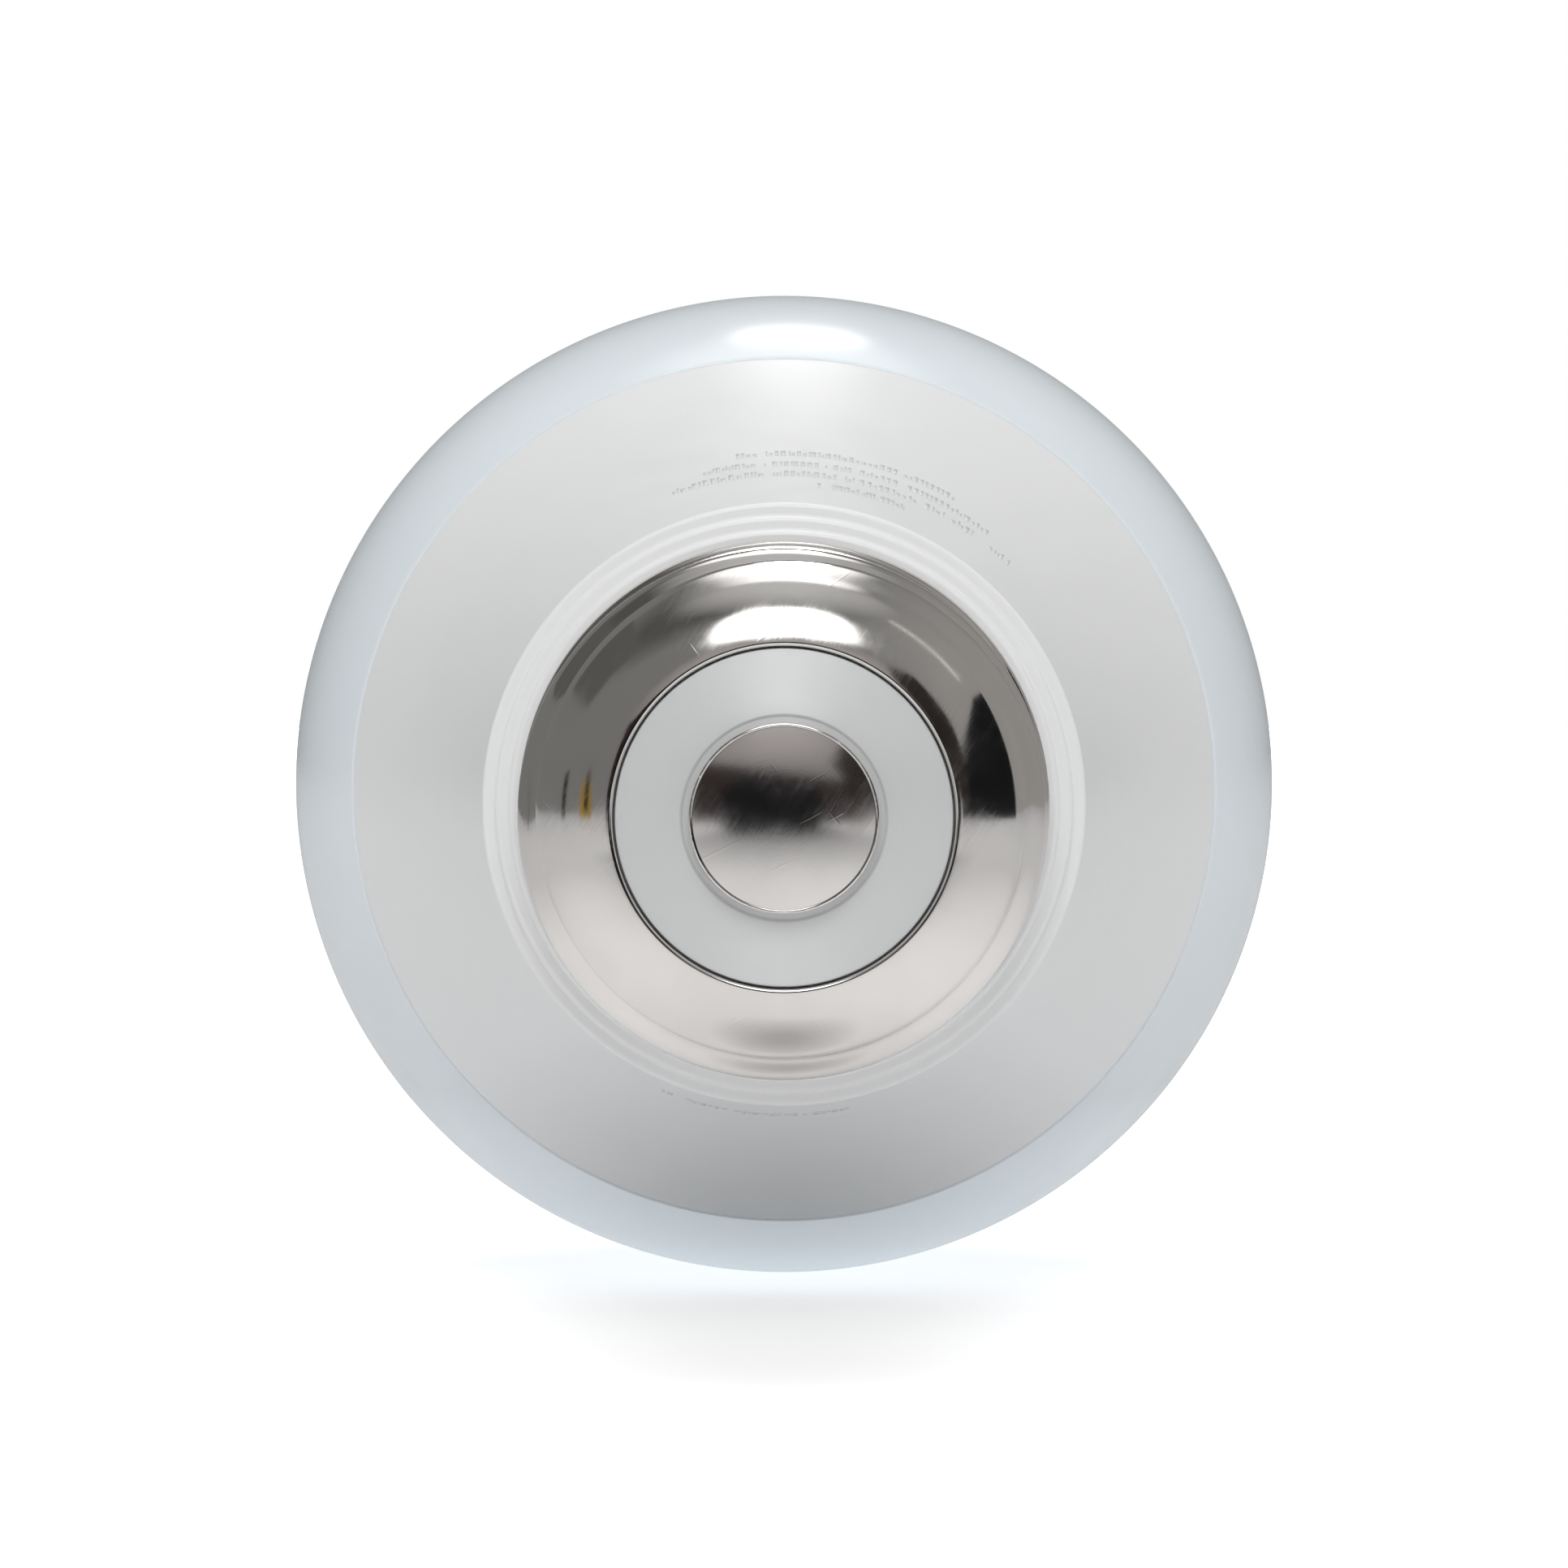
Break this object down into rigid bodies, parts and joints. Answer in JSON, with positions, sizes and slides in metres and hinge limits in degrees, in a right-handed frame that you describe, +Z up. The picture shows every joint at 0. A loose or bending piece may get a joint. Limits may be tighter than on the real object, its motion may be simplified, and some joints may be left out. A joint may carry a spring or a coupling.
{
  "type": "led light bulb",
  "caption": "LED light bulb with an Edison screw cap, a flared white housing with its driver inside, and an opal dome over the LED board.",
  "frame": {"origin": "tip of the centre contact, on the bulb's axis", "axes": "+Y runs along the bulb's axis from the screw cap to the crown of the diffuser, and -Y is the way the cap enters a lampholder; +Z is up as the bulb lies, +X to the right seen from the cap"},
  "size_m": [0.06, 0.11, 0.06],
  "materials": {
    "nickel_plate": "bright nickel plating with fine drawing marks and light scratches",
    "insulator": "pale moulded insulator, satin",
    "white_housing": "glossy white injection moulding",
    "opal_diffuser": "translucent opal polycarbonate, satin",
    "drawn_aluminium": "drawn, satin",
    "thermal_pad": "soft filled silicone",
    "white_mask": "white solder mask on an aluminium core",
    "led_package": "white moulded package",
    "phosphor": "yellow phosphor in silicone",
    "zinc_steel": "bright zinc plated",
    "silicone": "white cured silicone",
    "board_laminate": "green solder mask on glass fibre laminate",
    "resistor_lacquer": "flameproof lacquer with colour bands",
    "heat_shrink": "shrunk sleeve",
    "tinned_wire": "tinned",
    "capacitor_sleeve": "shrunk sleeve on an aluminium can",
    "film_case": "cast epoxy",
    "varistor_lacquer": "dipped epoxy",
    "ferrite": "sintered ferrite, matte",
    "enamelled_copper": "enamelled copper wire, close wound",
    "black_epoxy": "moulded epoxy",
    "chip_glaze": "glazed ceramic with tinned ends",
    "chip_ceramic": "ceramic with tinned ends",
    "black_nylon": "moulded",
    "gold_flash": "gold flashed",
    "white_nylon": "moulded",
    "solder": "bright solder"
  },
  "bodies": {
    "root": {"board_screws": "zinc_steel", "board_socket": "white_nylon", "bridge_rectifier": "black_epoxy", "cap_insulator": "insulator", "centre_contact": "nickel_plate", "chip_capacitors": "chip_ceramic", "chip_resistors": "chip_glaze", "choke_core": "ferrite", "choke_winding": "enamelled_copper", "component_leads": "tinned_wire", "diffuser": "opal_diffuser", "diffuser_adhesive": "silicone", "driver_board": "board_laminate", "driver_chip": "black_epoxy", "film_capacitor": "film_case", "fusible_resistor": "resistor_lacquer", "heat_sink_cup": "drawn_aluminium", "housing": "white_housing", "input_capacitor": "capacitor_sleeve", "led_board": "white_mask", "led_packages": "led_package", "led_phosphors": "phosphor", "live_leads": "tinned_wire", "neutral_lead": "tinned_wire", "output_capacitor": "capacitor_sleeve", "output_diode": "black_epoxy", "output_header": "black_nylon", "output_pins": "gold_flash", "resistor_sleeve": "heat_shrink", "screw_shell": "nickel_plate", "solder_joints": "solder", "surface_mount_pins": "tinned_wire", "thermal_pad": "thermal_pad", "varistor": "varistor_lacquer"}
  },
  "joints": []
}
